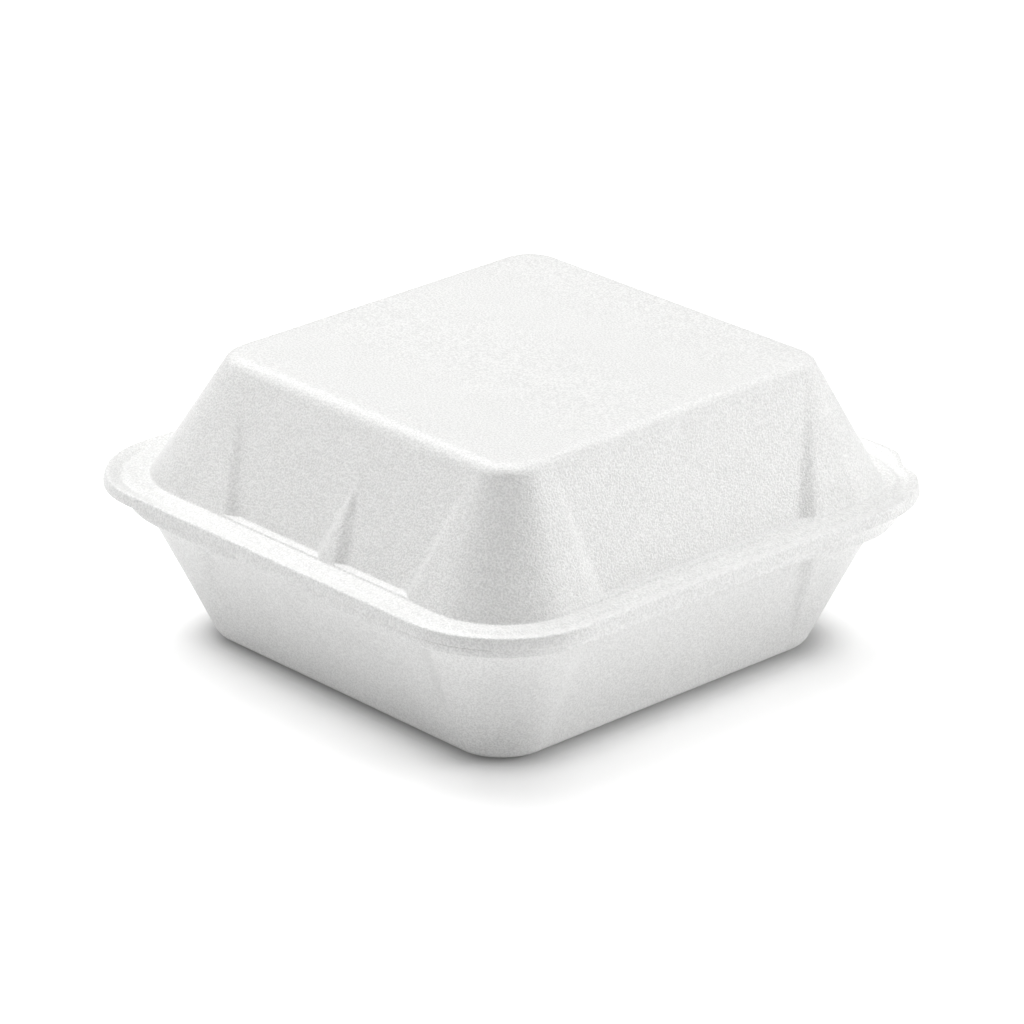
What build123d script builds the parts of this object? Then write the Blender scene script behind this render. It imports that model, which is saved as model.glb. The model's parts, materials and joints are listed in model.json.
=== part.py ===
# Foam clamshell container: a square hinged box thermoformed from one sheet of polystyrene foam.
# It is modelled closed, standing on its base. Lengths are in millimetres, +Z is up,
# the front with the latch faces -Y and the fold of the hinge runs along the +Y side.
from build123d import *
import os
from math import atan2, cos, radians, sin, sqrt, tan

# Foam sheet
wall = 2.1                    # thickness of walls, floor and ceiling
flange_thickness = 2.1        # thickness of both flanges
closing_gap = 0.1             # between the two flanges when the box is shut

# Overall size
box_half = 75.0               # half width over the lid's flange
base_height = 37.9            # top of the base flange, where the box parts
overall_height = 70.4         # top of the lid, above the table

# Lid walls, which lean in towards a small flat top
lid_flange_width = 8.7        # from the walls' foot to the flange's outer edge
lid_draw_in = 16.1            # how much nearer to the middle the top's edge is than the foot
lid_top_drift = (0.9, 1.0)    # of the top from the middle of the foot, to the right and back
lid_foot_corner = 20.5
lid_top_corner = 9.0
lid_top_round = 4.5           # rounding between the walls and the top
lid_foot_round = 0.5          # rounding between the walls and the flange

# Lid flange
lid_front_corner = 26.5
lid_hinge_corner = 27.5
bead_radius = 1.15            # rolled bead along the outer edge
bead_rise = 0.3               # how far the bead stands above the flat of the flange
channel_start = 2.0           # shallow channel inside the bead, from the outer edge
channel_width = 1.9
channel_depth = 0.3
edge_round = 0.45             # rounding of the flanges' outer edges

# Base walls, which flare up from a rounded foot
base_rim_inset = 7.3          # of the walls under the flange, from the box's outer edge
base_draw_in = 15.4           # how much nearer to the middle the foot is than the rim
base_rim_drift = (0.0, -0.7)  # of the walls' middle under the flange, to the right and back
base_foot_drift = (0.2, -1.2)  # of the foot's middle, to the right and back
base_rim_corner = 21.5
base_foot_corner = 13.0
base_foot_round = 4.0

# Base flange
base_side_setback = 1.2       # of its sides, from the box's outer edge
base_front_setback = 0.2      # of its front and back
base_front_corner = 29.5
base_hinge_corner = 31.5

# Raised middle of the floor, so that the box stands on a ring
foot_ring_width = 13.0        # from the walls' foot to the raised middle
floor_recess_corner = 9.0
floor_recess_depth = 1.2
floor_recess_lean = 1.2       # how far the step around it leans in

# Panels pressed into the walls between the corner bulges. Each wall is seen from outside,
# and the panel's left and right edges at its deep end are measured from the wall's middle.
lid_panel_depth = 1.7         # at the foot of the lid's walls
lid_panel_fade = 25.0         # height over which the panel runs out upwards
lid_panel_ledge = 0.7         # height of the ledge left at its foot
lid_panel_flank = 4.7         # width of the slanting step at the deep end
lid_panel_top_half = 40.5     # half width of the panel where it runs out
lid_front_panel = (-23.3, 34.0)
lid_right_panel = (-33.0, 28.2)
lid_back_panel = (-31.0, 31.0)
lid_left_panel = (-29.0, 33.0)
base_panel_depth = 1.8        # under the base flange
base_panel_fade = 30.0        # height over which the panel runs out downwards
base_panel_flank = 4.4
base_panel_foot_half = 40.0
base_front_panel = (-31.0, 38.0)
base_right_panel = (-37.0, 28.0)
base_back_panel = (-32.0, 32.0)
base_left_panel = (-28.0, 37.0)

# Rib left standing in the lid's front panel
rib_place = 8.9               # to the right of the middle
rib_foot_width = 9.8
rib_crest_width = 4.8
rib_height = 17.0

# Latch: a lug under the lid's front edge drops into a notch of the base flange
latch_place = -1.0            # to the right of the middle
lug_width = 19.4
lug_thickness = 2.2
lug_drop = 1.5
lug_setback = 0.2             # behind the lid flange's outer face
lug_end_round = 1.2
notch_width = 26.6
notch_depth = 3.2
notch_end_round = 2.4

# Hinge: the sheet is crushed to a thin web that folds behind the back edge
hinge_end_inset = 25.0        # of the hinge's two ends, from the box's sides
hinge_overhang = 1.2          # of the fold line, past the box's back edge
web_thickness = 0.6
web_root = 3.4                # of the web, in from the box's back edge
fold_radius = 0.5
fold_clearance = 0.1
hinge_roll_radius = 1.5       # roll that the fold raises on the lid's back edge
hinge_roll_rise = 1.0
hinge_roll_overhang = 0.6     # of the roll, past the box's back edge
roll_end_angle = 73.0         # where the roll ends on the corner's arc, from the X axis
ear_nick_radius = 1.8         # nick beside the fold's end at each back corner
ear_nick_angle = 68.0         # place of the nick on the corner's arc

# How far a cutting body runs past what it cuts, and how near counts as the same line
cut_past = 2.0
same_line = 0.01

# Sizes worked out from the ones above
lid_foot_half = box_half - lid_flange_width
lid_top_half = lid_foot_half - lid_draw_in
base_rim_half = box_half - base_rim_inset
base_foot_half = base_rim_half - base_draw_in
base_flange_half_x = box_half - base_side_setback
base_flange_half_y = box_half - base_front_setback
floor_recess_half = base_foot_half - foot_ring_width
hinge_length = 2 * (box_half - hinge_end_inset)
hinge_reach = box_half + hinge_overhang
lid_seat_z = base_height + closing_gap
lid_foot_z = lid_seat_z + flange_thickness
base_rim_z = base_height - flange_thickness
fold_z = base_height + closing_gap / 2
lid_lean = lid_draw_in / (overall_height - lid_foot_z)
lid_corner_lean = (lid_foot_corner - lid_top_corner) / (overall_height - lid_foot_z)
base_lean = base_draw_in / base_rim_z
base_corner_lean = (base_rim_corner - base_foot_corner) / base_rim_z
lid_inset = wall * sqrt(1 + lid_lean**2)
base_inset = wall * sqrt(1 + base_lean**2)


def lid_half(z):
    """Half width of the lid's outer walls at height z."""
    return lid_foot_half - lid_lean * (z - lid_foot_z)


def base_half(z):
    """Half width of the base's outer walls at height z."""
    return base_foot_half + base_lean * z


def lid_middle(z):
    """Middle of the lid's walls at height z, to the right and back."""
    share = (z - lid_foot_z) / (overall_height - lid_foot_z)
    return between((0, 0), lid_top_drift, share)


def base_middle(z):
    """Middle of the base's walls at height z, to the right and back."""
    return between(base_foot_drift, base_rim_drift, z / base_rim_z)


def between(start, end, share):
    """Point on the line from start to end."""
    return tuple(a + (b - a) * share for a, b in zip(start, end))


def lid_section(z, inset):
    """Rounded square across the lid's walls at height z, inset from their outer face."""
    corner = lid_foot_corner - lid_corner_lean * (z - lid_foot_z)
    return Pos(*lid_middle(z)) * rounded_square(lid_half(z) - inset, corner - inset, z)


def base_section(z, inset):
    """Rounded square across the base's walls at height z, inset from their outer face."""
    corner = base_foot_corner + base_corner_lean * z
    return Pos(*base_middle(z)) * rounded_square(base_half(z) - inset, corner - inset, z)


def rounded_square(half, corner, z):
    """Face of a rounded square at height z."""
    return (Pos(0, 0, z) * RectangleRounded(2 * half, 2 * half, corner)).face()


def flange_path(half_x, half_y, front_corner, hinge_corner, z):
    """Closed outline of a flange, from the middle of its front edge and back to it."""
    front = (0, -half_y, z)
    back = (0, half_y, z)
    right = FilletPolyline(
        front, (half_x, -half_y, z), (half_x, half_y, z), back, radius=[front_corner, hinge_corner]
    )
    left = FilletPolyline(
        back, (-half_x, half_y, z), (-half_x, -half_y, z), front, radius=[hinge_corner, front_corner]
    )
    return Wire(right.edges() + left.edges())


def wall_away(half, middle, turn, z):
    """Distance from the box's middle to the face of one wall at height z."""
    x, y = middle(z)
    return half(z) + x * sin(radians(turn)) - y * cos(radians(turn))


def panel_wedge(away, deep_z, depth, fade, flank, edges, run_out_half, upwards):
    """Wedge that presses a panel into a wall, drawn as if that were the front wall.

    It is deepest at deep_z and runs out over the height fade, upwards or downwards.
    away gives the wall's distance from the box's middle at a height.
    """
    left, right = edges
    direction = 1 if upwards else -1

    def across(along):
        share = along / fade
        z = deep_z + direction * along
        panel = away(z) - depth * (1 - share)
        out = depth + cut_past
        spread = flank * out / depth
        start = left + (-run_out_half - left) * share
        end = right + (run_out_half - right) * share
        points = [
            (start, -panel, z),
            (end, -panel, z),
            (end + spread, -panel - out, z),
            (start - spread, -panel - out, z),
        ]
        return Face(Wire.make_polygon(points, close=True))

    return loft([across(0), across(fade + cut_past)], ruled=True)


def wall_places(front, right, back, left):
    """Pairs of a turn about Z that brings the front wall to each wall, and its panel."""
    return [(0, front), (90, right), (180, back), (270, left)]


def front_rib(inset, foot_z):
    """Tapered body kept out of the front panel's wedge, so that a rib is left standing.

    Its flanks meet in a ridge, which lies outside the wall at the foot and sinks to the
    panel at the rib's tip, so the rib has a flat crest that narrows to a point.
    """
    flank = (rib_foot_width - rib_crest_width) / 2 / lid_panel_depth
    flank_angle = atan2(1, flank)
    narrowed = inset * tan(flank_angle / 2)
    tip_depth = lid_panel_depth * (1 - rib_height / lid_panel_fade)

    def across(z, half_root):
        root = wall_away(lid_half, lid_middle, 0, z) - inset - lid_panel_depth
        points = [
            (rib_place - half_root, -root, z),
            (rib_place + half_root, -root, z),
            (rib_place, -root - half_root / flank, z),
        ]
        return Face(Wire.make_polygon(points, close=True))

    foot_root = rib_foot_width / 2 - narrowed
    tip_root = (lid_panel_depth - tip_depth) * flank - narrowed
    return loft([across(foot_z, foot_root), across(foot_z + rib_height, tip_root)], ruled=True)


def press_lid_panels(form, inset, ledge_z):
    """The lid's form with the panels pressed in from the height of the ledge upwards."""
    places = wall_places(lid_front_panel, lid_right_panel, lid_back_panel, lid_left_panel)
    for turn, edges in places:
        wedge = panel_wedge(
            lambda z: wall_away(lid_half, lid_middle, turn, z) - inset,
            ledge_z,
            lid_panel_depth,
            lid_panel_fade,
            lid_panel_flank,
            edges,
            lid_panel_top_half,
            upwards=True,
        )
        if turn == 0:
            wedge = wedge - front_rib(inset, ledge_z)
        form = form - Rot(0, 0, turn) * wedge
    return form


def press_base_panels(form, inset, top_z):
    """The base's form with the panels pressed in from the height top_z downwards."""
    places = wall_places(base_front_panel, base_right_panel, base_back_panel, base_left_panel)
    for turn, edges in places:
        wedge = panel_wedge(
            lambda z: wall_away(base_half, base_middle, turn, z) - inset,
            top_z,
            base_panel_depth,
            base_panel_fade,
            base_panel_flank,
            edges,
            base_panel_foot_half,
            upwards=False,
        )
        form = form - Rot(0, 0, turn) * wedge
    return form


def lid_walls(low_z, high_z, inset, top_round):
    """Body bounded by the lid's plain walls and its rounded top."""
    form = loft([lid_section(low_z, inset), lid_section(high_z, inset)], ruled=True)
    return fillet(form.edges().group_by(Axis.Z)[-1], top_round)


def base_walls(low_z, high_z, inset, foot_round):
    """Body bounded by the base's plain walls and its rounded foot."""
    form = loft([base_section(low_z, inset), base_section(high_z, inset)], ruled=True)
    return fillet(form.edges().group_by(Axis.Z)[0], foot_round)


def floor_step(low_z, half, corner):
    """Shallow block with leaning sides that raises the middle of the floor."""
    low = rounded_square(half + floor_recess_lean, corner + floor_recess_lean, low_z)
    high = rounded_square(half, corner, low_z + floor_recess_depth)
    return Pos(*base_foot_drift) * loft([low, high], ruled=True)


def lid_flange():
    """Flange of the lid, with its rolled bead and the shallow channel inside it."""
    path = flange_path(box_half, box_half, lid_front_corner, lid_hinge_corner, lid_seat_z)
    ring_width = channel_start + channel_width + cut_past
    bead_z = flange_thickness + bead_rise - bead_radius
    bead_end = bead_z + sqrt(bead_radius**2 - (channel_start - bead_radius) ** 2)
    half_turn = radians(45)
    shoulder = bead_radius * (1 - cos(half_turn))
    outer = -box_half

    def at(inward, up):
        return (0, outer + inward, lid_seat_z + up)

    outline = [
        Line(at(edge_round, 0), at(ring_width, 0)),
        Line(at(ring_width, 0), at(ring_width, flange_thickness)),
        Line(at(ring_width, flange_thickness), at(channel_start + channel_width, flange_thickness)),
        ThreePointArc(
            at(channel_start + channel_width, flange_thickness),
            at(channel_start + channel_width / 2, flange_thickness - channel_depth),
            at(channel_start, bead_end),
        ),
        ThreePointArc(
            at(channel_start, bead_end),
            at(shoulder, bead_z + bead_radius - shoulder),
            at(0, bead_z),
        ),
        Line(at(0, bead_z), at(0, edge_round)),
        ThreePointArc(
            at(0, edge_round),
            at(edge_round * (1 - cos(half_turn)), edge_round * (1 - sin(half_turn))),
            at(edge_round, 0),
        ),
    ]
    ring = sweep(Face(Wire(outline)), path=path)
    inner = box_half - ring_width / 2
    slab_face = Face(
        flange_path(
            inner,
            inner,
            lid_front_corner - ring_width / 2,
            lid_hinge_corner - ring_width / 2,
            lid_seat_z,
        )
    )
    return ring + extrude(slab_face, flange_thickness)


def corner_point(half, corner, angle, inward, z):
    """Point on the arc of the right back corner of an outline, set in from it."""
    middle = half - corner
    reach = corner - inward
    return (middle + reach * cos(radians(angle)), middle + reach * sin(radians(angle)), z)


def hinge_roll():
    """Roll along the lid's back edge, bent round into the corners and rounded at its ends."""
    z = lid_foot_z + hinge_roll_rise - hinge_roll_radius
    inward = hinge_roll_radius - hinge_roll_overhang
    straight_angle = 90
    bend_angle = (roll_end_angle + straight_angle) / 2
    end = corner_point(box_half, lid_hinge_corner, roll_end_angle, inward, z)
    bend = corner_point(box_half, lid_hinge_corner, bend_angle, inward, z)
    straight = corner_point(box_half, lid_hinge_corner, straight_angle, inward, z)
    path = Wire(
        [
            ThreePointArc(end, bend, straight),
            Line(straight, mirrored(straight)),
            ThreePointArc(mirrored(straight), mirrored(bend), mirrored(end)),
        ]
    )
    start = Plane(origin=end, z_dir=path.tangent_at(0))
    roll = sweep(start * Circle(hinge_roll_radius), path=path)
    for place in (end, mirrored(end)):
        roll = roll + Pos(*place) * Sphere(hinge_roll_radius)
    return roll


def mirrored(point):
    """The same point on the left side of the box."""
    return (-point[0], point[1], point[2])


def ear_nicks():
    """Cutters for the nicks beside the two ends of the fold."""
    place = corner_point(box_half, lid_hinge_corner, ear_nick_angle, 0, lid_seat_z)
    height = flange_thickness + 2 * cut_past
    nicks = []
    for x, y, z in (place, mirrored(place)):
        nicks.append(Pos(x, y, z) * Cylinder(ear_nick_radius, height))
    return nicks


def hinge_strip(low_z, reach):
    """Thin strip of crushed foam along the back edge, out to the given reach."""
    start = box_half - web_root
    middle = Pos(0, (start + reach) / 2, low_z + web_thickness / 2)
    return middle * Box(hinge_length, reach - start, web_thickness)


def fold_rod(radius):
    """Round rod along the fold line."""
    return Pos(0, hinge_reach, fold_z) * Rot(0, 90, 0) * Cylinder(radius, hinge_length)


def latch_lug():
    """Lug that hangs under the front edge of the lid's flange."""
    height = lug_drop + flange_thickness / 2
    lug = Box(lug_width, lug_thickness, height)
    lower_ends = lug.edges().filter_by(Axis.Y).group_by(Axis.Z)[0]
    lug = fillet(lower_ends, lug_end_round)
    y = -box_half + lug_setback + lug_thickness / 2
    return Pos(latch_place, y, lid_seat_z - lug_drop + height / 2) * lug


def latch_notch():
    """Cutter for the notch in the front edge of the base flange."""
    depth = notch_depth + cut_past
    notch = Box(notch_width, depth, flange_thickness + 2 * cut_past)
    inner_corners = notch.edges().filter_by(Axis.Z).group_by(Axis.Y)[-1]
    notch = fillet(inner_corners, notch_end_round)
    return Pos(latch_place, -base_flange_half_y - cut_past + depth / 2, base_rim_z) * notch


def lid():
    """Upper half of the box, with its flange, the latch lug and its part of the hinge."""
    body = lid_walls(lid_foot_z, overall_height, 0, lid_top_round) + lid_flange()
    foot_line = lid_section(lid_foot_z, 0).outer_wire()
    foot_edges = body.edges().filter_by(
        lambda edge: foot_line.distance_to(edge.position_at(0.5)) < same_line
    )
    body = fillet(foot_edges, lid_foot_round)
    body = press_lid_panels(body, 0, lid_foot_z + lid_panel_ledge)
    body = body + hinge_roll() - ear_nicks() + latch_lug()
    body = body + hinge_strip(lid_seat_z, hinge_reach - fold_radius - fold_clearance)
    cavity = lid_walls(
        lid_seat_z - cut_past, overall_height - wall, lid_inset, lid_top_round - wall
    )
    cavity = press_lid_panels(cavity, lid_inset, lid_foot_z + lid_panel_ledge - wall)
    return body - cavity


def base():
    """Lower half of the box, with its flange, the latch notch and its part of the hinge."""
    body = base_walls(0, base_rim_z, 0, base_foot_round)
    body = press_base_panels(body, 0, base_rim_z)
    body = body - floor_step(0, floor_recess_half, floor_recess_corner)
    path = flange_path(
        base_flange_half_x, base_flange_half_y, base_front_corner, base_hinge_corner, base_rim_z
    )
    flange = extrude(Face(path), flange_thickness) - latch_notch()
    flange = fillet(flange.faces().filter_by(Axis.Z).edges(), edge_round)
    body = body + flange + hinge_strip(base_height - web_thickness, hinge_reach)
    body = body + fold_rod(fold_radius)
    cavity = base_walls(wall, base_height + cut_past, base_inset, base_foot_round - wall)
    cavity = press_base_panels(cavity, base_inset, base_height - lid_panel_ledge)
    cavity = cavity - floor_step(wall, floor_recess_half, floor_recess_corner)
    return body - cavity


os.makedirs("parts", exist_ok=True)
for name, build in (("base", base), ("lid", lid)):
    solid = build()
    export_step(solid, f"parts/{name}.step")
    print(name, solid.is_valid, len(solid.solids()), round(solid.volume, 1))
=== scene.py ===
"""Foam clamshell container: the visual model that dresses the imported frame.

Sizes are in millimetres on the frame's axes, with +Z up, the latch at the front (-Y) and the
hinge at the back (+Y). They become metres where a mesh, a camera or a node takes them.
"""

import json
import logging
import math
from dataclasses import dataclass
from enum import Enum
from typing import Any

import bpy
import numpy as np
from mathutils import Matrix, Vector

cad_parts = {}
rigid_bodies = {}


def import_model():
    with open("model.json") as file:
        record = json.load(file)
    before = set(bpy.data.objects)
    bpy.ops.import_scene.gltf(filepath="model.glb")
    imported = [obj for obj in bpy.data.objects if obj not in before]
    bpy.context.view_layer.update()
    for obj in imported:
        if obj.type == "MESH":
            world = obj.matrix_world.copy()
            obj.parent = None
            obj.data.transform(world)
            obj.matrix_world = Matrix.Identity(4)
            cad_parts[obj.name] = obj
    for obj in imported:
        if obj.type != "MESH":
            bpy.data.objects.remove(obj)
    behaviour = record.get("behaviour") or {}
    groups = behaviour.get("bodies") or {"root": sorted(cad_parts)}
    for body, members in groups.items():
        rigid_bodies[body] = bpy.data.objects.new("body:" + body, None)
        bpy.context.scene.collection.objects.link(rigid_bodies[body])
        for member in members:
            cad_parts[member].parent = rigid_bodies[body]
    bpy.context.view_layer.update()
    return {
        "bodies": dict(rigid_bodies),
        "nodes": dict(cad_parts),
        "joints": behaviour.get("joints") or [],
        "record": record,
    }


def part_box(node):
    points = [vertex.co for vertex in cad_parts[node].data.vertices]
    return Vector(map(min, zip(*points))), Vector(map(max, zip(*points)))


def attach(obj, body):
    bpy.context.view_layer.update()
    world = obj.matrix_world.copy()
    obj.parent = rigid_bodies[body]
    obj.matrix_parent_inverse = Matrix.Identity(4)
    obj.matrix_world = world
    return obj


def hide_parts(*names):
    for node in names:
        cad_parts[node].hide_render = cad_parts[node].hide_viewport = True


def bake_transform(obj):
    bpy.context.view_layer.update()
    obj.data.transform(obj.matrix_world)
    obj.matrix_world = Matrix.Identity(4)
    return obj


MM = 0.001
# Side of the square picture in pixels
IMAGE_SIDE = 1024
# Top of the lid's rim, from the land out to the face: how far out and up, plain and at the hinge
RIM_PROFILE = (
    (-6.0, 0.12, -6.3, 0.05),
    (-5.6, 0.05, -6.0, 0.08),
    (-5.2, -0.14, -5.7, -0.05),
    (-4.8, -0.34, -5.2, -0.3),
    (-4.3, -0.42, -4.7, -0.42),
    (-3.8, -0.34, -4.0, -0.3),
    (-3.4, -0.14, -3.4, 0.0),
    (-3.0, 0.12, -2.9, 0.4),
    (-2.4, 0.3, -2.4, 0.8),
    (-1.8, 0.42, -1.8, 1.02),
    (-1.3, 0.5, -1.1, 1.1),
    (-0.95, 0.52, -0.5, 1.0),
    (-0.78, 0.48, -0.1, 0.8),
    (-0.63, 0.38, 0.25, 0.5),
    (-0.51, 0.22, 0.45, 0.15),
    (-0.44, 0.05, 0.55, -0.2),
    (-0.4, -0.15, 0.6, -0.55),
)
# What a point of a sheet knows: whether panels press it, whether it is inside, how far it was drawn
PRESSED = "pressed"
INNER = "inner_face"
DRAWN = "drawn"

Shares = tuple[float, ...]

log = logging.getLogger("foam_clamshell")


class Wall(Enum):
    """The four walls, each with the turn about Z that brings the front wall to it."""

    FRONT = 0.0
    RIGHT = 90.0
    BACK = 180.0
    LEFT = 270.0


@dataclass(frozen=True)
class Draw:
    """How far the moulding drew the sheet at each place, from 0 to 1, which sets its grain."""

    top: float = 0.65
    wall: float = 1.0
    ledge: float = 0.8
    foot: float = 0.6
    rim: float = 0.9
    edge: float = 0.5
    lug: float = 0.45
    lid_under: float = 0.4
    lid_inside: float = 0.45
    lid_inner_round: float = 0.4
    lid_inner_top: float = 0.35
    base: float = 0.4
    base_inside: float = 0.35
    floor: float = 0.3
    web: float = 0.35


DRAW = Draw()


# Small helpers


def linear(hex_colour: str) -> tuple[float, float, float, float]:
    """Turn a hex sRGB colour into linear red, green, blue and a full alpha.

    Args:
        hex_colour: six hex digits after a hash sign.

    Returns:
        The colour as Blender's nodes want it.
    """
    channels = []
    for start in (1, 3, 5):
        value = int(hex_colour[start : start + 2], 16) / 255
        channels.append(value / 12.92 if value <= 0.04045 else ((value + 0.055) / 1.055) ** 2.4)
    return (channels[0], channels[1], channels[2], 1.0)


def add_node(
    tree: bpy.types.NodeTree,
    kind: str,
    settings: dict[str, Any] | None = None,
    inputs: dict[Any, Any] | None = None,
) -> bpy.types.Node:
    """Add a node to a tree with its settings, its values and its links.

    Args:
        tree: the tree that gets the node.
        kind: the node's type name.
        settings: the node's properties by name.
        inputs: by socket name or number, a value, or the node or socket that is linked to it.

    Returns:
        The new node.
    """
    node = tree.nodes.new(kind)
    for name, value in (settings or {}).items():
        setattr(node, name, value)
    for key, value in (inputs or {}).items():
        if isinstance(value, bpy.types.Node):
            value = next(socket for socket in value.outputs if socket.enabled)
        if isinstance(value, bpy.types.NodeSocket):
            tree.links.new(value, node.inputs[key])
        else:
            node.inputs[key].default_value = value
    return node


def smooth(value: np.ndarray, low: float, high: float) -> np.ndarray:
    """Rise smoothly from 0 at low to 1 at high."""
    share = np.clip((value - low) / (high - low), 0.0, 1.0)
    return share * share * (3 - 2 * share)


def window(value: np.ndarray, middle: float, width: float, soft: float) -> np.ndarray:
    """Be 1 over a width round a middle, and fall to 0 inside its soft ends."""
    away = np.abs(value - middle)
    return 1.0 - smooth(away, width / 2 - soft, width / 2)


def bend(start: np.ndarray, corner: np.ndarray, end: np.ndarray, share: float) -> np.ndarray:
    """Place on the soft curve that leaves the start for the corner and turns to the end."""
    return start * (1 - share) ** 2 + corner * 2 * share * (1 - share) + end * share**2


def direction(azimuth: float, elevation: float) -> Vector:
    """Direction from the box to a viewer, with azimuth 0 in front and 90 on the right."""
    turn, rise = math.radians(azimuth), math.radians(elevation)
    return Vector(
        (math.sin(turn) * math.cos(rise), -math.cos(turn) * math.cos(rise), math.sin(rise))
    )


# The sheet's surface as a stack of rings


@dataclass(frozen=True)
class Columns:
    """How many columns of points each ring has along a side and round a corner."""

    straight: int = 112
    arc: int = 48


def rounded_ring(
    half_x: float, half_y: float, corners: tuple[float, float, float, float], columns: Columns
) -> tuple[np.ndarray, np.ndarray]:
    """Lay points round a rounded rectangle, counter-clockwise as seen from above.

    Args:
        half_x: half its width.
        half_y: half its depth.
        corners: radii of the front right, back right, back left and front left corners.
        columns: how many points go along a side and round a corner.

    Returns:
        The points and their outward directions, from the left end of the front side.
    """
    front_right, back_right, back_left, front_left = corners
    sides = [
        ((front_left - half_x, -half_y), (half_x - front_right, -half_y)),
        ((half_x, front_right - half_y), (half_x, half_y - back_right)),
        ((half_x - back_right, half_y), (back_left - half_x, half_y)),
        ((-half_x, half_y - back_left), (-half_x, front_left - half_y)),
    ]
    along = (np.arange(columns.straight) / columns.straight)[:, None]
    round_share = np.arange(columns.arc) / columns.arc
    points, outwards = [], []
    for number, (radius, (start, end)) in enumerate(zip(corners, sides)):
        turn = math.radians(90 * number)
        outward = np.array([math.sin(turn), -math.cos(turn)])
        start, end = np.array(start), np.array(end)
        points.append(start + along * (end - start))
        outwards.append(np.tile(outward, (columns.straight, 1)))
        angle = turn + math.pi / 2 * (round_share - 1)
        direction = np.stack([np.cos(angle), np.sin(angle)], axis=1)
        points.append(end - radius * outward + radius * direction)
        outwards.append(direction)
    return np.concatenate(points), np.concatenate(outwards)


class Sheet:
    """A closed skin of foam, made of rings between two poles."""

    def __init__(self) -> None:
        """Start with no rings."""
        self.rings: list[np.ndarray] = []
        self.facts: dict[str, list[float]] = {PRESSED: [], INNER: [], DRAWN: []}

    def add(
        self, points: np.ndarray, z: Any, drawn: float, pressed: float = 0.0, inner: float = 0.0
    ) -> None:
        """Add the next ring.

        Args:
            points: its places across the box.
            z: its height, one value or one for each point.
            drawn: how far the moulding stretched the sheet there, from 0 to 1.
            pressed: 1 where panels are pressed into the sheet.
            inner: 1 on the inside of the box.
        """
        heights = np.broadcast_to(np.asarray(z, float), (len(points),))
        self.rings.append(np.column_stack([points, heights]))
        for name, value in ((PRESSED, pressed), (INNER, inner), (DRAWN, drawn)):
            self.facts[name].append(value)

    def build(self, name: str) -> bpy.types.Object:
        """Make the skin a mesh object in metres.

        Args:
            name: the name of the object and its mesh.

        Returns:
            The object, which lies at the origin.
        """
        count = len(self.rings[0])
        first, last = self.rings[0].mean(axis=0), self.rings[-1].mean(axis=0)
        places = np.vstack([first, *self.rings, last]) * MM
        here = np.arange(count)
        after = (here + 1) % count
        end = len(places) - 1
        faces = [(0, 1 + a, 1 + b) for a, b in zip(here, after)]
        for ring in range(len(self.rings) - 1):
            low, high = 1 + ring * count, 1 + (ring + 1) * count
            quads = np.stack([low + here, high + here, high + after, low + after], axis=1)
            faces.extend(quads.tolist())
        low = end - count
        faces.extend((end, low + b, low + a) for a, b in zip(here, after))
        mesh = bpy.data.meshes.new(name)
        mesh.from_pydata(places.tolist(), [], [tuple(map(int, face)) for face in faces])
        for fact, values in self.facts.items():
            spread = np.concatenate([[values[0]], np.repeat(values, count), [values[-1]]])
            layer = mesh.attributes.new(fact, "FLOAT", "POINT")
            layer.data.foreach_set("value", spread.astype(np.float32))
        mesh.shade_smooth()
        piece = bpy.data.objects.new(name, mesh)
        bpy.context.collection.objects.link(piece)
        return piece


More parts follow.
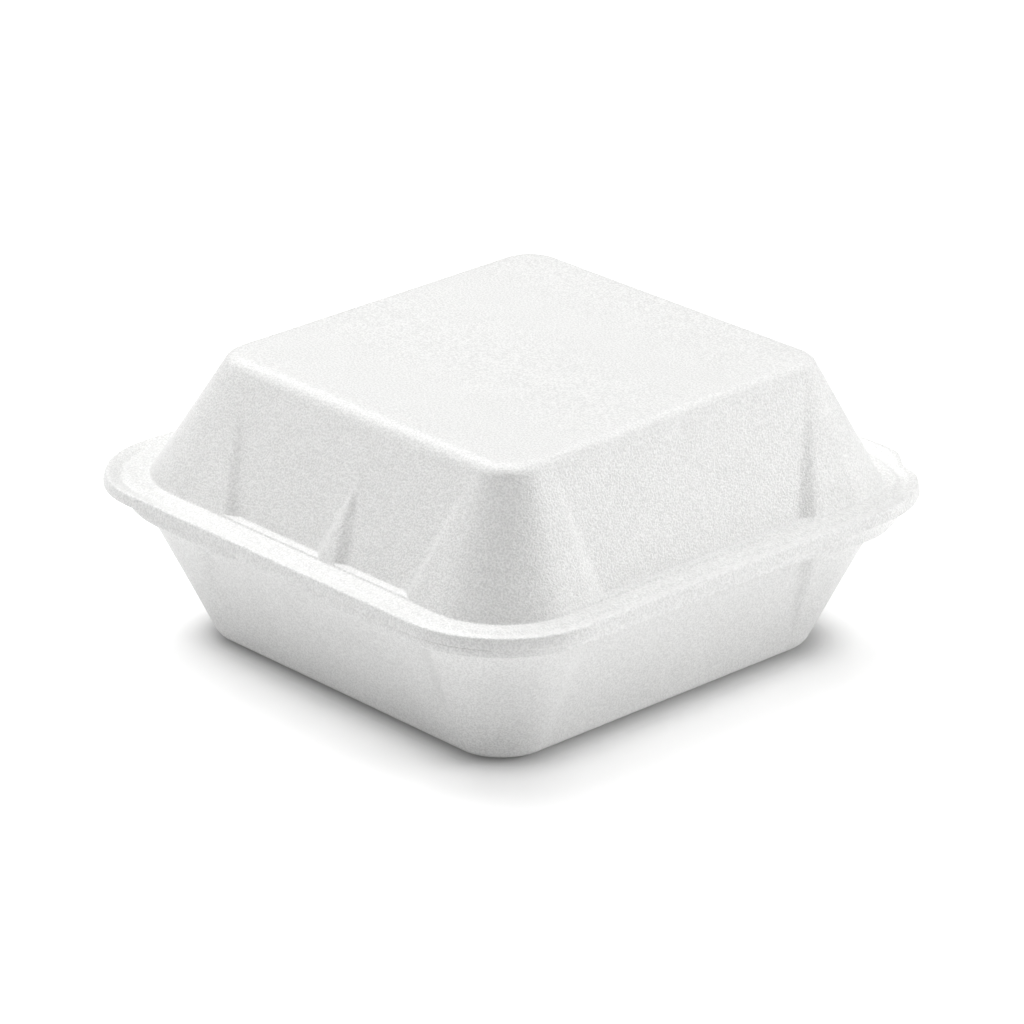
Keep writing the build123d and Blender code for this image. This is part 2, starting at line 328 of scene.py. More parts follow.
@dataclass(frozen=True)
class Walls:
    """Four leaning walls round a flat plate, which is the lid's top or the base's floor.

    The walls leave the plate upwards where away is 1 and downwards where it is -1. On their
    height they spread by one distance, their corners' radius grows by another, and their
    middle shifts from the plate's to the far edge's.
    """

    plate_z: float
    plate_half: float
    plate_corner: float
    plate_middle: tuple[float, float]
    height: float
    spread: float
    corner_spread: float
    far_middle: tuple[float, float]
    away: int
    columns: Columns
    round_steps: int = 9
    smallest_corner: float = 0.5

    @property
    def lean(self) -> float:
        """How fast the walls spread away from the plate."""
        return self.spread / self.height

    def share(self, z: float) -> float:
        """Share of the way from the plate to the walls' far edge at height z."""
        return abs(z - self.plate_z) / self.height

    def half(self, z: float) -> float:
        """Half width over the walls at height z."""
        return self.plate_half + self.spread * self.share(z)

    def corner(self, z: float) -> float:
        """Radius of the walls' corners at height z."""
        return self.plate_corner + self.corner_spread * self.share(z)

    def middle(self, z: float) -> np.ndarray:
        """Middle of the walls at height z, to the right and back."""
        near, far = np.array(self.plate_middle), np.array(self.far_middle)
        return near + (far - near) * self.share(z)

    def ring(self, z: float, inset: float) -> np.ndarray:
        """Lay points round the walls.

        Args:
            z: the height of the ring.
            inset: how far it lies inside the walls' outer face.

        Returns:
            The points.
        """
        half = self.half(z) - inset
        corners = (self.corner(z) - inset,) * 4
        return rounded_ring(half, half, corners, self.columns)[0] + self.middle(z)

    def plate_round(self, plate_z: float, inset: float, radius: float) -> list[tuple]:
        """Rings of the rounding between the plate and the walls.

        Args:
            plate_z: height of this face of the plate.
            inset: how far this face of the walls lies inside the outer one.
            radius: radius of the rounding.

        Returns:
            Pairs of points and height, from the plate outwards.
        """
        sweep = math.pi / 2 - math.atan(self.lean)
        reach = radius * math.tan(sweep / 2)
        edge = self.half(plate_z) - inset
        end_z = plate_z + self.away * radius * (1 - math.cos(sweep))
        first_corner = max(self.corner(plate_z) - inset - reach, self.smallest_corner)
        last_corner = self.corner(end_z) - inset
        rings = []
        for step in range(self.round_steps + 1):
            angle = sweep * step / self.round_steps
            half = edge - reach + radius * math.sin(angle)
            corner = first_corner + (last_corner - first_corner) * step / self.round_steps
            z = plate_z + self.away * radius * (1 - math.cos(angle))
            points = rounded_ring(half, half, (corner,) * 4, self.columns)[0]
            rings.append((points + self.middle(z), z))
        return rings


@dataclass(frozen=True)
class Flange:
    """Flat rim round the box, whose outer edge other rings follow.

    The corners are the front right, back right, back left and front left one. A nick draws
    each back corner in, at an angle round its arc from the side, beside the hinge's end.
    """

    half_x: float
    half_y: float
    corners: tuple[float, float, float, float]
    columns: Columns
    nick_angle: float = 64.0
    nick_width: float = 34.0
    nick_depth: float = 1.7
    nick_reach: float = 8.0

    def edge(self, out: Any) -> np.ndarray:
        """Points along the outer edge, moved out by one distance or one for each point."""
        points, outwards = rounded_ring(self.half_x, self.half_y, self.corners, self.columns)
        return points + outwards * np.broadcast_to(np.asarray(out, float), (len(points),))[:, None]

    def nicked_edge(self, out: Any) -> np.ndarray:
        """Points as edge gives them, drawn in beside the two ends of the hinge.

        Args:
            out: how far out, one distance or one for each point.

        Returns:
            The points. The nick fades away inwards, over its reach.
        """
        spots, outwards = rounded_ring(self.half_x, self.half_y, self.corners, self.columns)
        angle = np.degrees(np.arctan2(outwards[:, 1], np.abs(outwards[:, 0])))
        nick = window(angle, self.nick_angle, self.nick_width, self.nick_width / 2)
        nick = nick * (spots[:, 1] > 0) * self.nick_depth
        return self.edge(out - nick * np.clip(1 + np.asarray(out) / self.nick_reach, 0.0, 1.0))

    def rounding(self, radius: float, angles: Shares, inset: Any = 0.0) -> list[tuple]:
        """Rings of a rounding of the outer edge.

        Args:
            radius: radius of the rounding.
            angles: degrees that the rings lie apart from the edge's widest place, in order.
            inset: how far the edge lies further in, one distance or one for each point.

        Returns:
            Pairs of points and distance from the flat face that the rounding runs into.
        """
        rings = []
        for angle in angles:
            turn = math.radians(angle)
            out = -radius * (1 - math.cos(turn)) - inset
            rings.append((self.nicked_edge(out), radius * (1 - math.sin(turn))))
        return rings


# Geometry Nodes


def start_tree(name: str, sizes: list[str]) -> tuple[bpy.types.NodeTree, Any]:
    """Start a tree that takes a mesh, its finish and sizes.

    Args:
        name: the tree's name.
        sizes: the names of the sizes.

    Returns:
        The tree, and the outputs of the node that gives its inputs.
    """
    tree = bpy.data.node_groups.new(name, "GeometryNodeTree")
    tree.interface.new_socket("Geometry", in_out="OUTPUT", socket_type="NodeSocketGeometry")
    tree.interface.new_socket("Geometry", in_out="INPUT", socket_type="NodeSocketGeometry")
    tree.interface.new_socket("Finish", in_out="INPUT", socket_type="NodeSocketMaterial")
    for size in sizes:
        tree.interface.new_socket(size, in_out="INPUT", socket_type="NodeSocketFloat")
    return tree, add_node(tree, "NodeGroupInput").outputs


def end_tree(tree: bpy.types.NodeTree, given: Any, offset: bpy.types.Node) -> None:
    """End a tree: move the points, realize instances and set the finish.

    Args:
        tree: the tree.
        given: the outputs of the node that gives its inputs.
        offset: the node that says how far each point moves.
    """
    moved = add_node(
        tree, "GeometryNodeSetPosition", None, {"Geometry": given["Geometry"], "Offset": offset}
    )
    whole = add_node(tree, "GeometryNodeRealizeInstances", None, {0: moved})
    dressed = add_node(
        tree, "GeometryNodeSetMaterial", None, {"Geometry": whole, "Material": given["Finish"]}
    )
    add_node(tree, "NodeGroupOutput", None, {0: dressed})


def apply_tree(
    piece: bpy.types.Object, tree: bpy.types.NodeTree, values: dict[str, Any]
) -> None:
    """Add a Geometry Nodes modifier and set its inputs by their identifiers.

    Args:
        piece: the object that gets the modifier.
        tree: the modifier's node tree.
        values: the inputs' values by name.
    """
    modifier = piece.modifiers.new(tree.name, "NODES")
    modifier.node_group = tree
    for item in tree.interface.items_tree:
        if item.in_out == "INPUT" and item.name in values:
            modifier[item.identifier] = values[item.name]


@dataclass(frozen=True)
class Pressing:
    """A panel pressed into one wall or, with a negative depth, a rib left standing in it.

    The edges are seen from outside, from the wall's middle, at the deep end and where it
    runs out. The slant is the width of the soft step along each edge.
    """

    wall: Wall
    depth: float
    left: float
    right: float
    left_end: float
    right_end: float
    left_slant: float
    right_slant: float


@dataclass(frozen=True)
class PressTree:
    """Geometry Nodes that press one panel into a wall, deepest at one height and fading away.

    The pressing runs out over the fade, away from the deep height. On the inside of the box
    the deep height lies further along by the sheet's thickness.
    """

    deep_z: float
    fade: float
    away: int
    inner_shift: float
    lip: float
    soft_end: float = 0.16
    slant_end: float = 0.3
    slant_curve: float = 0.4

    def tree(self) -> bpy.types.NodeTree:
        """Build the tree with named inputs for its sizes.

        Returns:
            A tree that moves points, realizes instances and sets the material.
        """
        names = ["Turn", "Depth", "Left", "Right", "Left end", "Right end", "Left slant"]
        names += ["Right slant", "Deep height", "Fade", "Away", "Inner shift", "Lip", "Soft end"]
        tree, given = start_tree("press_wall", names)
        float_type = {"data_type": "FLOAT"}
        pressed = add_node(tree, "GeometryNodeInputNamedAttribute", float_type, {"Name": PRESSED})
        inner = add_node(tree, "GeometryNodeInputNamedAttribute", float_type, {"Name": INNER})
        place = add_node(tree, "GeometryNodeInputPosition")
        back = add_node(tree, "ShaderNodeMath", {"operation": "MULTIPLY"}, {0: given["Turn"], 1: -1.0})
        facing = add_node(
            tree,
            "ShaderNodeVectorRotate",
            {"rotation_type": "Z_AXIS"},
            {"Vector": place, "Angle": back},
        )
        parts = add_node(tree, "ShaderNodeSeparateXYZ", None, {0: facing}).outputs
        shift = add_node(
            tree, "ShaderNodeMath", {"operation": "MULTIPLY"}, {0: inner, 1: given["Inner shift"]}
        )
        deep = add_node(
            tree, "ShaderNodeMath", {"operation": "ADD"}, {0: given["Deep height"], 1: shift}
        )
        above = add_node(tree, "ShaderNodeMath", {"operation": "SUBTRACT"}, {0: parts["Z"], 1: deep})
        along = add_node(
            tree, "ShaderNodeMath", {"operation": "MULTIPLY"}, {0: above, 1: given["Away"]}
        )
        share = add_node(
            tree, "ShaderNodeMath", {"operation": "DIVIDE"}, {0: along, 1: given["Fade"]}
        )
        edge_share = add_node(tree, "ShaderNodeClamp", None, {"Value": share})
        narrowing = add_node(
            tree,
            "ShaderNodeMapRange",
            None,
            {"Value": share, "To Min": -1.0, "To Max": -self.slant_end},
        )
        masks = []
        for side, sign in (("Left", 1.0), ("Right", -1.0)):
            edge = add_node(
                tree,
                "ShaderNodeMix",
                {"data_type": "FLOAT"},
                {"Factor": edge_share, "A": given[side], "B": given[f"{side} end"]},
            )
            beyond = add_node(
                tree, "ShaderNodeMath", {"operation": "SUBTRACT"}, {0: parts["X"], 1: edge}
            )
            inward = add_node(tree, "ShaderNodeMath", {"operation": "MULTIPLY"}, {0: beyond, 1: sign})
            outer = add_node(
                tree,
                "ShaderNodeMath",
                {"operation": "MULTIPLY"},
                {0: given[f"{side} slant"], 1: narrowing},
            )
            steps = [
                add_node(
                    tree,
                    "ShaderNodeMapRange",
                    {"interpolation_type": kind},
                    {"Value": inward, "From Min": outer, "From Max": 0.0},
                )
                for kind in ("LINEAR", "SMOOTHSTEP")
            ]
            masks.append(
                add_node(
                    tree,
                    "ShaderNodeMix",
                    {"data_type": "FLOAT"},
                    {"Factor": self.slant_curve, "A": steps[0], "B": steps[1]},
                )
            )
        lip_low = add_node(
            tree, "ShaderNodeMath", {"operation": "MULTIPLY"}, {0: given["Lip"], 1: -1.0}
        )
        masks.append(
            add_node(
                tree,
                "ShaderNodeMapRange",
                {"interpolation_type": "SMOOTHSTEP"},
                {"Value": along, "From Min": lip_low, "From Max": 0.0},
            )
        )
        masks.append(pressed)
        left = add_node(tree, "ShaderNodeMath", {"operation": "SUBTRACT"}, {0: 1.0, 1: share})
        square = add_node(tree, "ShaderNodeMath", {"operation": "MULTIPLY"}, {0: left, 1: left})
        soft = add_node(
            tree,
            "ShaderNodeMath",
            {"operation": "MULTIPLY_ADD"},
            {0: given["Soft end"], 1: given["Soft end"], 2: square},
        )
        root = add_node(tree, "ShaderNodeMath", {"operation": "SQRT"}, {0: soft})
        fall = add_node(tree, "ShaderNodeMath", {"operation": "ADD"}, {0: left, 1: root})
        half_fall = add_node(tree, "ShaderNodeMath", {"operation": "MULTIPLY"}, {0: fall, 1: 0.5})
        masks.append(half_fall)
        side_on = add_node(tree, "ShaderNodeMath", {"operation": "ABSOLUTE"}, {0: parts["X"]})
        depth_in = add_node(
            tree, "ShaderNodeMath", {"operation": "ADD"}, {0: parts["Y"], 1: side_on}
        )
        masks.append(
            add_node(tree, "ShaderNodeMath", {"operation": "LESS_THAN"}, {0: depth_in, 1: 0.0})
        )
        amount = given["Depth"]
        for mask in masks:
            amount = add_node(tree, "ShaderNodeMath", {"operation": "MULTIPLY"}, {0: amount, 1: mask})
        push = add_node(tree, "ShaderNodeCombineXYZ", None, {"Y": amount})
        offset = add_node(
            tree,
            "ShaderNodeVectorRotate",
            {"rotation_type": "Z_AXIS"},
            {"Vector": push, "Angle": given["Turn"]},
        )
        end_tree(tree, given, offset)
        return tree

    def press(
        self, piece: bpy.types.Object, pressings: list[Pressing], finish: bpy.types.Material
    ) -> None:
        """Give a piece one modifier for each pressing.

        Args:
            piece: the shell that is pressed.
            pressings: its panels and ribs, in order.
            finish: the material that the tree sets.
        """
        tree = self.tree()
        for pressing in pressings:
            sizes = {
                "Turn": math.radians(pressing.wall.value),
                "Depth": pressing.depth * MM,
                "Left": pressing.left * MM,
                "Right": pressing.right * MM,
                "Left end": pressing.left_end * MM,
                "Right end": pressing.right_end * MM,
                "Left slant": pressing.left_slant * MM,
                "Right slant": pressing.right_slant * MM,
                "Deep height": self.deep_z * MM,
                "Fade": self.fade * MM,
                "Away": float(self.away),
                "Inner shift": self.inner_shift * MM,
                "Lip": self.lip * MM,
                "Soft end": self.soft_end,
                "Finish": finish,
            }
            apply_tree(piece, tree, sizes)


@dataclass(frozen=True)
class UnevenTree:
    """Geometry Nodes that leave a moulded sheet a little uneven, as a cooled one is."""

    wave_length: float = 22.0
    height: float = 0.06
    seed: float = 3.0

    def tree(self) -> bpy.types.NodeTree:
        """Build the tree with named inputs for its sizes and its seed.

        Returns:
            A tree that moves points along their normals and sets the material.
        """
        tree, given = start_tree("uneven_sheet", ["Waves per metre", "Height", "Seed"])
        place = add_node(tree, "GeometryNodeInputPosition")
        noise = add_node(
            tree,
            "ShaderNodeTexNoise",
            {"noise_dimensions": "4D"},
            {
                "Vector": place,
                "W": given["Seed"],
                "Scale": given["Waves per metre"],
                "Detail": 1.0,
            },
        )
        level = add_node(tree, "ShaderNodeMath", {"operation": "SUBTRACT"}, {0: noise, 1: 0.5})
        amount = add_node(
            tree, "ShaderNodeMath", {"operation": "MULTIPLY"}, {0: level, 1: given["Height"]}
        )
        normal = add_node(tree, "GeometryNodeInputNormal")
        offset = add_node(
            tree, "ShaderNodeVectorMath", {"operation": "SCALE"}, {0: normal, "Scale": amount}
        )
        end_tree(tree, given, offset)
        return tree

    def apply(self, piece: bpy.types.Object, finish: bpy.types.Material) -> None:
        """Give a piece the modifier.

        Args:
            piece: the shell that is left uneven.
            finish: the material that the tree sets.
        """
        sizes = {
            "Waves per metre": 1 / (self.wave_length * MM),
            "Height": self.height * MM,
            "Seed": self.seed,
            "Finish": finish,
        }
        apply_tree(piece, self.tree(), sizes)


def settle(piece: bpy.types.Object) -> None:
    """Turn a piece's modifiers into its plain mesh, and drop what only they read.

    Args:
        piece: the object, which keeps its name.
    """
    graph = bpy.context.evaluated_depsgraph_get()
    graph.update()
    mesh = bpy.data.meshes.new_from_object(piece.evaluated_get(graph))
    piece.modifiers.clear()
    old = piece.data
    piece.data = mesh
    bpy.data.meshes.remove(old)
    mesh.name = piece.name
    for name in (PRESSED, INNER):
        layer = mesh.attributes.get(name)
        if layer is not None:
            mesh.attributes.remove(layer)


# Finishes


@dataclass(frozen=True)
class FoamFinish:
    """Polystyrene foam sheet, thermoformed.

    Its skin is closed and satin, and the flattened cells under it show as an orange peel of
    small dents, strongest where the sheet was drawn furthest, and as a faint speckle over a
    fainter cloud. Real cells are 0.2 to 0.5 mm wide; the speckle and the longer, crooked dents
    between the cells are drawn at the coarse end of that and above, so that they show.
    """

    name: str = "thermoformed_polystyrene_foam"
    colour: str = "#FBFBFA"
    shade: str = "#E0E0DF"
    roughness: float = 0.33
    ior: float = 1.48
    cell: float = 0.42
    crook: float = 0.7
    crook_bend: float = 0.6
    crook_share: float = 0.35
    dent: float = 0.3
    cloud: float = 9.0
    cloud_share: float = 0.2
    speckle_range: tuple[float, float] = (0.36, 0.64)

    def material(self) -> bpy.types.Material:
        """Build the material.

        Returns:
            A node material on Object coordinates.
        """
        material = bpy.data.materials.new(self.name)
        material.use_nodes = True
        tree = material.node_tree
        tree.nodes.clear()
        place = add_node(tree, "ShaderNodeTexCoord").outputs["Object"]
        drawn = add_node(tree, "ShaderNodeAttribute", {"attribute_name": DRAWN}).outputs["Fac"]
        pits = add_node(
            tree,
            "ShaderNodeTexNoise",
            None,
            {"Vector": place, "Scale": 1 / (self.cell * MM), "Detail": 1.0, "Roughness": 0.5},
        )
        crooks = add_node(
            tree,
            "ShaderNodeTexNoise",
            None,
            {
                "Vector": place,
                "Scale": 1 / (self.crook * MM),
                "Detail": 1.0,
                "Distortion": self.crook_bend,
            },
        )
        height = add_node(
            tree,
            "ShaderNodeMix",
            {"data_type": "FLOAT"},
            {"Factor": self.crook_share, "A": pits.outputs["Fac"], "B": crooks.outputs["Fac"]},
        )
        bump = add_node(
            tree,
            "ShaderNodeBump",
            None,
            {"Strength": drawn, "Distance": self.dent * MM, "Height": height},
        )
        cloud = add_node(
            tree,
            "ShaderNodeTexNoise",
            None,
            {"Vector": place, "Scale": 1 / (self.cloud * MM), "Detail": 3.0},
        )
        weakest, strongest = self.speckle_range
        speckle = add_node(
            tree,
            "ShaderNodeMapRange",
            None,
            {"Value": pits.outputs["Fac"], "From Min": weakest, "From Max": strongest},
        )
        mottle = add_node(
            tree,
            "ShaderNodeMix",
            {"data_type": "FLOAT"},
            {"Factor": self.cloud_share, "A": speckle, "B": cloud.outputs["Fac"]},
        )
        tint = add_node(
            tree,
            "ShaderNodeMix",
            {"data_type": "RGBA"},
            {"Factor": mottle, "A": linear(self.colour), "B": linear(self.shade)},
        )
        shader = add_node(
            tree,
            "ShaderNodeBsdfPrincipled",
            None,
            {
                "Base Color": tint,
                "Roughness": self.roughness,
                "IOR": self.ior,
                "Normal": bump,
            },
        )
        add_node(tree, "ShaderNodeOutputMaterial", None, {"Surface": shader})
        return material


# The two halves of the box


@dataclass(frozen=True)
class Measures:
    """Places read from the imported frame."""

    box_half: float
    top_z: float
    fold_y: float
    fold_z: float

    @classmethod
    def from_frame(cls, frame: dict[str, Any]) -> "Measures":
        """Read the measures from the lid's box and the hinge.

        Args:
            frame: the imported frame.

        Returns:
            The measures in millimetres.
        """
        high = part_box("lid")[1]
        hinge = frame["joints"][0]["pos_m"]
        return cls(high.x / MM, high.z / MM, hinge[1] / MM, hinge[2] / MM)


@dataclass
class Lid:
    """Upper half of the box: walls, rolled flange, latch lug and the roll at the hinge."""

    measures: Measures
    columns: Columns
    sheet: float = 2.1
    gap: float = 0.06
    flange_width: float = 8.7
    draw_in: float = 16.1
    top_drift: tuple[float, float] = (0.9, 1.0)
    foot_corner: float = 20.5
    top_corner: float = 9.0
    top_round: float = 4.5
    foot_round: float = 0.6
    foot_rise: float = 0.36
    flange_corners: tuple[float, float, float, float] = (28.8, 28.4, 27.5, 23.8)
    top_tilt: float = 0.008
    land_end: float = 6.0
    edge_round: float = 0.06
    ledge: float = 0.7
    lip: float = 0.3
    panel_depth: float = 1.7
    panel_fade: float = 25.0
    roll_half_length: float = 59.0
    roll_end: float = 9.0
    roll_undercut: float = 0.3
    latch_x: float = -1.0
    lug_width: float = 25.4
    lug_thickness: float = 2.2
    lug_drop: float = 0.9
    lug_setback: float = 0.1
    lug_end: float = 2.2
    # Where the rings lie: shares of the way across a face, heights over a ledge, or how many
    top_shares: Shares = (0.08, 0.25, 0.42, 0.58, 0.72, 0.84, 0.93)
    wall_rings: int = 36
    wall_clear: float = 0.9
    ledge_heights: Shares = (0.6, 0.35, 0.15, 0.0, -0.08, -0.15, -0.22, -0.32)
    foot_shares: Shares = (0.0, 0.25, 0.5, 0.75, 1.0)
    land_shares: Shares = (0.25, 0.5, 0.75)
    land_rise: float = 0.1
    face_clear: float = 0.4
    edge_angles: Shares = (0.0, 30.0, 60.0, 90.0)
    seat_shares: Shares = (0.0, 0.3, 0.6, 0.85, 0.95)
    seat_clear: float = 0.3
    inner_ledge_heights: Shares = (-0.5, -0.3, -0.22, -0.15, -0.08, 0.0, 0.2, 0.5)
    inner_wall_rings: int = 25
    inner_wall_clear: float = 1.2
    inner_top_shares: Shares = (0.9, 0.7, 0.5, 0.3, 0.1)

    def __post_init__(self) -> None:
        """Work out the heights and the walls from the driving sizes."""
        self.seat_z = self.measures.fold_z + self.gap / 2
        self.foot_z = self.seat_z + self.sheet
        self.ledge_z = self.foot_z + self.ledge
        foot_half = self.measures.box_half - self.flange_width
        self.walls = Walls(
            self.measures.top_z,
            foot_half - self.draw_in,
            self.top_corner,
            self.top_drift,
            self.measures.top_z - self.foot_z,
            self.draw_in,
            self.foot_corner - self.top_corner,
            (0.0, 0.0),
            -1,
            self.columns,
        )
        half = self.measures.box_half
        self.flange = Flange(half, half, self.flange_corners, self.columns)
        self.inset = self.sheet * math.sqrt(1 + self.walls.lean**2)

    def pressings(self) -> list[Pressing]:
        """Place the panel of each wall, and the rib that stands in the front one.

        Returns:
            The pressings, the rib last.
        """
        deep = self.panel_depth
        return [
            Pressing(Wall.FRONT, deep, -23.2, 34.0, -36.3, 41.0, 3.2, 2.6),
            Pressing(Wall.RIGHT, deep, -33.0, 28.1, -36.0, 42.0, 5.4, 4.6),
            Pressing(Wall.BACK, deep, -31.0, 31.0, -38.0, 38.0, 4.8, 4.8),
            Pressing(Wall.LEFT, deep, -29.0, 33.0, -38.0, 36.0, 4.8, 4.8),
            Pressing(Wall.FRONT, -deep, 6.5, 11.3, 11.5, 6.3, 2.5, 2.5),
        ]

    def rim_rows(self, sheet: Sheet) -> None:
        """Add the channel, the bead and, along the hinge, the roll that it swells to.

        Args:
            sheet: the skin that gets the rings.
        """
        spots = self.flange.edge(0.0)
        rolled = window(spots[:, 0], 0.0, 2 * self.roll_half_length, self.roll_end)
        rolled = rolled * (spots[:, 1] > self.measures.box_half / 2)
        for out, up, hinge_out, hinge_up in RIM_PROFILE:
            reach = out + (hinge_out - out) * rolled
            rise = up + (hinge_up - up) * rolled
            sheet.add(self.flange.nicked_edge(reach), self.foot_z + rise, DRAW.rim)
        overhang = self.roll_undercut * RIM_PROFILE[-1][2] * rolled
        face_z = self.seat_z + self.edge_round + self.face_clear
        sheet.add(self.flange.nicked_edge(overhang), face_z, DRAW.edge)
        for points, rise in self.flange.rounding(self.edge_round, self.edge_angles):
            sheet.add(points, self.seat_z + rise, DRAW.edge)

    def lug_rows(self, sheet: Sheet) -> None:
        """Add the underside near the edge, with the latch's lug hanging from it.

        Args:
            sheet: the skin that gets the rings.
        """
        spots = self.flange.edge(0.0)
        lug = window(spots[:, 0], self.latch_x, self.lug_width, self.lug_end)
        lug = lug * (spots[:, 1] < 0)
        back = self.lug_setback + self.lug_thickness
        # How far out beside the lug and on it, and the share of the lug's drop
        outline = [
            (-self.edge_round - 0.1, -self.lug_setback, 0.05),
            (-self.edge_round - 0.2, -self.lug_setback, 0.4),
            (-self.edge_round - 0.3, -self.lug_setback, 0.75),
            (-self.edge_round - 0.5, -self.lug_setback - 0.15, 0.92),
            (-self.edge_round - 0.7, -self.lug_setback - 0.4, 1.0),
            (-back + 0.5, -back + 0.4, 1.0),
            (-back + 0.3, -back + 0.12, 0.9),
            (-back + 0.1, -back, 0.7),
            (-back, -back, 0.0),
        ]
        for plain, hung, drop in outline:
            out = plain + (hung - plain) * lug
            z = self.seat_z - self.lug_drop * drop * lug
            sheet.add(self.flange.nicked_edge(out), z, DRAW.lug)

    def outer_rows(self, sheet: Sheet) -> None:
        """Add the outside, from the middle of the top down to the flange's land.

        Args:
            sheet: the skin that gets the rings.
        """
        top = self.measures.top_z
        outer_round = self.walls.plate_round(top, 0.0, self.top_round)
        edge, low = outer_round[0][0], outer_round[-1][1]
        for share in self.top_shares:
            sheet.add(edge * share, top, DRAW.top)
        for number, (points, z) in enumerate(outer_round):
            drawn = DRAW.top + (DRAW.wall - DRAW.top) * number / len(outer_round)
            sheet.add(points, z, drawn, pressed=1.0)
        for z in np.linspace(low, self.ledge_z + self.wall_clear, self.wall_rings + 1)[1:]:
            sheet.add(self.walls.ring(z, 0.0), z, DRAW.wall, pressed=1.0)
        for up in self.ledge_heights:
            z = self.ledge_z + up
            sheet.add(self.walls.ring(z, 0.0), z, DRAW.ledge, pressed=1.0)
        foot = self.walls.ring(self.foot_z, 0.0)
        above = self.walls.ring(self.foot_z + self.foot_rise, 0.0)
        land = self.flange.nicked_edge(-self.land_end)
        beside = foot + (land - foot) * self.foot_round / self.flange_width
        for share in self.foot_shares:
            z = self.foot_z + self.foot_rise * (1 - share) ** 2
            sheet.add(bend(above, foot, beside, share), z, DRAW.foot)
        for share in self.land_shares:
            points = beside + (land - beside) * share
            sheet.add(points, self.foot_z + self.land_rise * share, DRAW.rim)

    def inner_rows(self, sheet: Sheet) -> None:
        """Add the seat on the base's flange and the inside, up to the middle of the top.

        Args:
            sheet: the skin that gets the rings.
        """
        under = self.flange.nicked_edge(-self.lug_setback - self.lug_thickness - self.seat_clear)
        rim = self.walls.ring(self.seat_z, self.inset)
        for share in self.seat_shares:
            sheet.add(under + (rim - under) * share, self.seat_z, DRAW.lid_under)
        top = self.measures.top_z - self.sheet
        inner_round = self.walls.plate_round(top, self.inset, self.top_round - self.sheet)
        edge, high = inner_round[0][0], inner_round[-1][1]
        ledge_z = self.ledge_z - self.sheet
        heights = [ledge_z + up for up in self.inner_ledge_heights]
        heights += list(
            np.linspace(ledge_z + self.inner_wall_clear, high, self.inner_wall_rings + 1)[:-1]
        )
        for z in heights:
            sheet.add(self.walls.ring(z, self.inset), z, DRAW.lid_inside, pressed=1.0, inner=1.0)
        for points, z in reversed(inner_round):
            sheet.add(points, z, DRAW.lid_inner_round, pressed=1.0, inner=1.0)
        for share in self.inner_top_shares:
            sheet.add(edge * share, top, DRAW.lid_inner_top, inner=1.0)

    def shell(self) -> Sheet:
        """Lay the rings from the middle of the top, round the rim, to the middle inside.

        Returns:
            The lid's whole skin.
        """
        sheet = Sheet()
        self.outer_rows(sheet)
        self.rim_rows(sheet)
        self.lug_rows(sheet)
        self.inner_rows(sheet)
        self.tilt(sheet)
        return sheet

    def tilt(self, sheet: Sheet) -> None:
        """Let the top lie a little higher at the hinge, as the folded sheet holds it up.

        Args:
            sheet: the lid's whole skin.
        """
        for ring in sheet.rings:
            share = np.clip((ring[:, 2] - self.foot_z) / (self.measures.top_z - self.foot_z), 0, 1)
            ring[:, 2] += self.top_tilt * ring[:, 1] * share

    def build(self, finish: bpy.types.Material) -> bpy.types.Object:
        """Build the lid's shell, press its panels and put it in place of the CAD lid.

        Args:
            finish: the foam.

        Returns:
            The piece, which rides on the lid.
        """
        piece = self.shell().build("lid_shell")
        press = PressTree(self.ledge_z, self.panel_fade, 1, -self.sheet, self.lip)
        press.press(piece, self.pressings(), finish)
        UnevenTree().apply(piece, finish)
        settle(piece)
        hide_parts("lid")
        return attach(piece, "lid")


